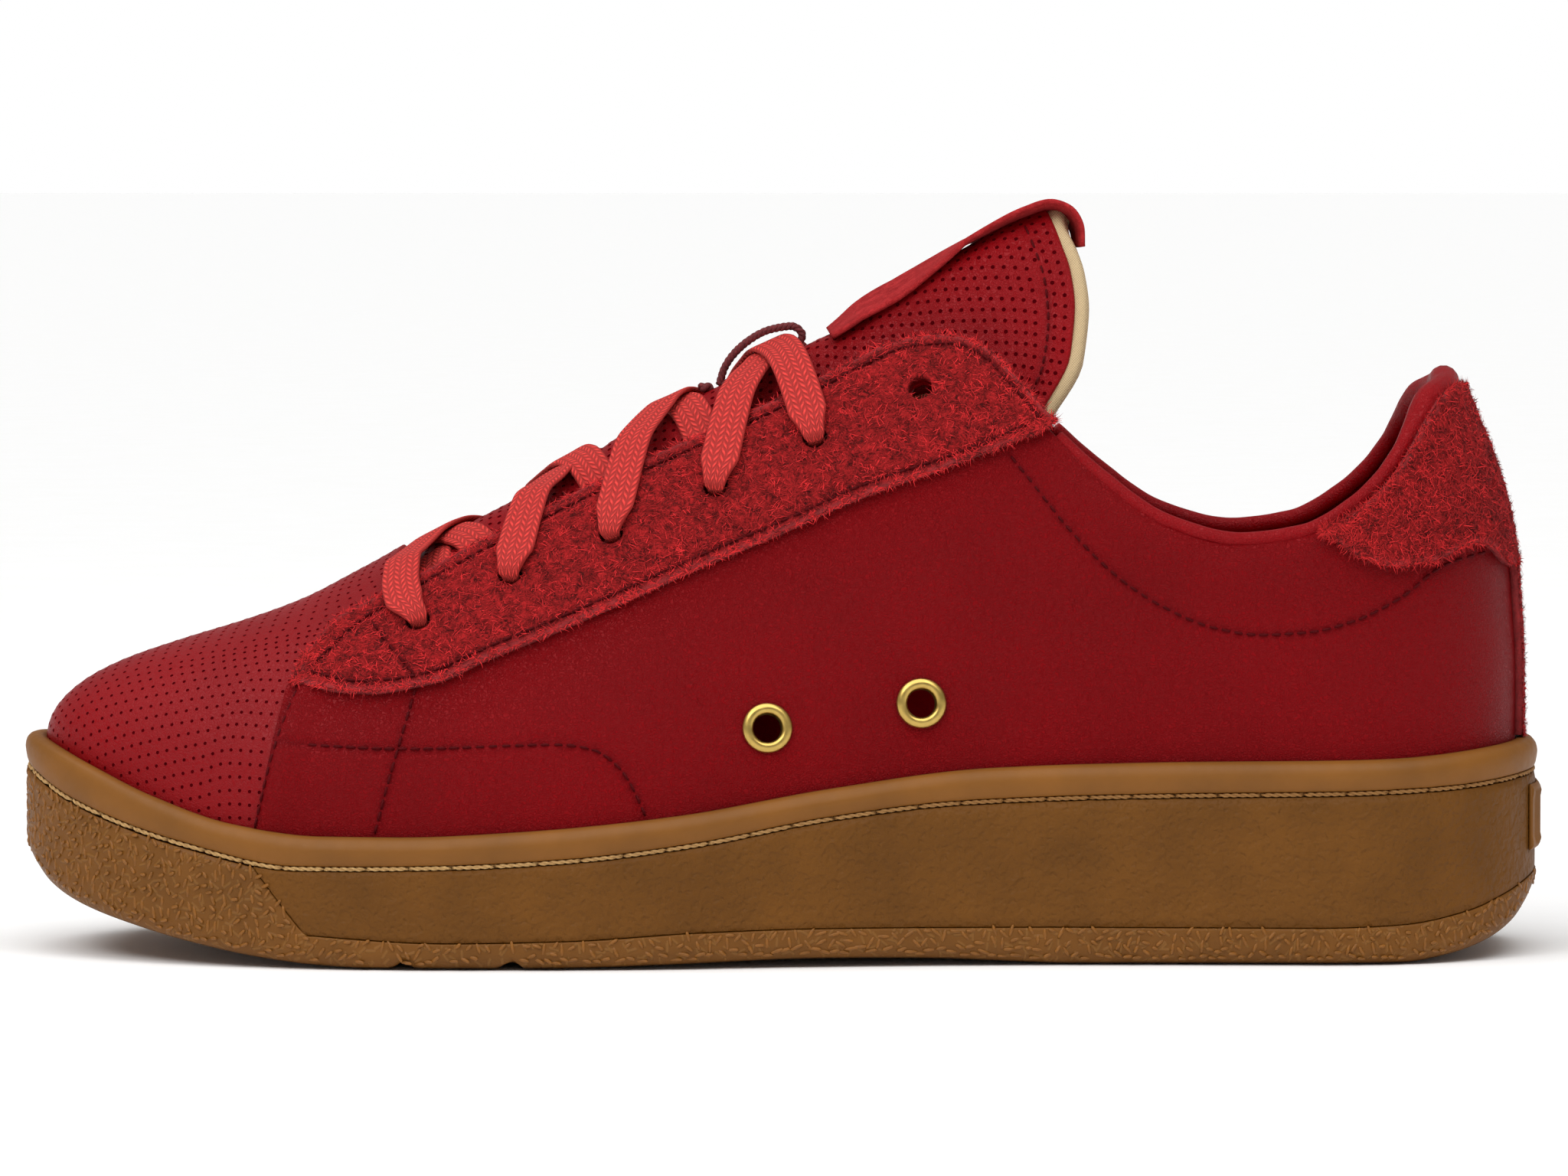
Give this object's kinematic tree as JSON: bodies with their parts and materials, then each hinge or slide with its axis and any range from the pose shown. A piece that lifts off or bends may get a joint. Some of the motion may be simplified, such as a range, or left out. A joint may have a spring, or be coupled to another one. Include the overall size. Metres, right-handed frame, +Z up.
{
  "type": "low-top leather court shoe",
  "caption": "Low-top leather court shoe for the right foot: stitched gum rubber cupsole, crimson leather upper, hairy suede eyestays and heel tab, padded tongue with a pull strap, flat laces",
  "frame": {"origin": "on the ground, under the middle of the shoe's bounding box", "axes": "+X towards the heel along the sole, +Y towards the lateral side, +Z up"},
  "size_m": [0.2956, 0.1064, 0.1453],
  "materials": {
    "gum": "moulded gum rubber, rice-grain and pebbled texture",
    "pale_gum": "smooth satin gum rubber",
    "thread": "twisted waxed hemp thread",
    "foam": "open-cell padding foam",
    "board": "fibre insole board",
    "sock_fabric": "brushed fabric over foam",
    "leather": "finely wrinkled crimson leather, semi-gloss",
    "lining": "smooth perforated lining leather",
    "stiffener": "thermoplastic stiffener sheet",
    "suede": "long-haired suede with raw edges",
    "brass": "satin brass eyelet",
    "tongue_fabric": "cream perforated fabric",
    "lace_fabric": "flat plaited cotton",
    "keeper_cord": "round braided cord"
  },
  "bodies": {
    "shoe": {"outsole": "gum", "sidewall": "gum", "foxing_band": "pale_gum", "sole_stitch_thread": "thread", "heel_badge": "pale_gum", "midsole_core": "foam", "insole_board": "board", "vamp": "leather", "vamp_lining": "lining", "toe_puff": "stiffener", "quarter_medial": "leather", "quarter_lateral": "leather", "quarter_lining_medial": "lining", "quarter_lining_lateral": "lining", "eyestay_medial": "suede", "eyestay_lateral": "suede", "heel_counter": "stiffener", "collar_foam": "foam", "collar_lining": "lining", "collar_piping": "leather", "heel_tab": "suede", "backstay": "suede", "vent_eyelet_front": "brass", "vent_eyelet_rear": "brass", "tongue_lower_face": "leather", "tongue_lower_foam": "foam", "tongue_lower_lining": "tongue_fabric", "lace": "lace_fabric", "lace_keeper": "keeper_cord", "keeper_knot": "keeper_cord"},
    "tongue_top": {"tongue_top_face": "leather", "tongue_top_foam": "foam", "tongue_top_lining": "tongue_fabric", "pull_strap": "suede"},
    "sockliner": {"sockliner": "sock_fabric"}
  },
  "joints": [
    {"name": "tongue_fold", "type": "hinge", "parent": "shoe", "child": "tongue_top", "pos_m": [0.008, 0, 0.104], "axis": [0, 1, 0], "range_deg": [-6, 14]},
    {"name": "sockliner_peel", "type": "hinge", "parent": "shoe", "child": "sockliner", "pos_m": [-0.137, 0, 0.026], "axis": [0, -1, 0], "range_deg": [0, 5]}
  ]
}
